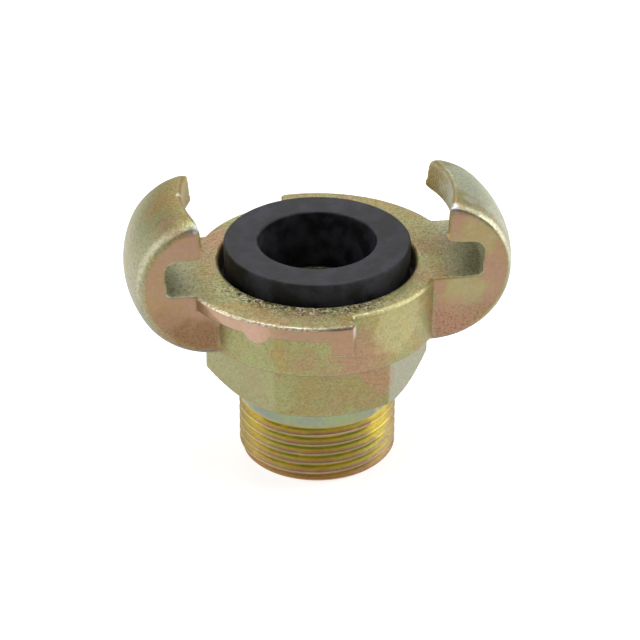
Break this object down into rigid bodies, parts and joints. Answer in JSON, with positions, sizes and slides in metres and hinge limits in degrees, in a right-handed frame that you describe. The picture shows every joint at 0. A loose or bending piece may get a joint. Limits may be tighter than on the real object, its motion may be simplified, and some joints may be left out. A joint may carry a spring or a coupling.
{
  "type": "claw hose coupling",
  "caption": "Claw hose coupling half: male pipe thread, hexagonal hub, round flange with hooked claws and locking ledges, and a rubber sealing ring.",
  "frame": {"origin": "centre of the threaded end's face, which is the lowest face", "axes": "+Z along the bore, from the threaded end to the sealing ring; the claws lie on +X and -X"},
  "size_m": [0.0636, 0.0468, 0.0486],
  "materials": {
    "plated_iron": "malleable casting, zinc plated and yellow passivated: olive gold with pink and green patches, fine grainy surface",
    "black_rubber": "moulded black rubber, matt, greyer on its flat top"
  },
  "bodies": {
    "root": {"coupling_body": "plated_iron", "sealing_ring": "black_rubber"}
  },
  "joints": []
}
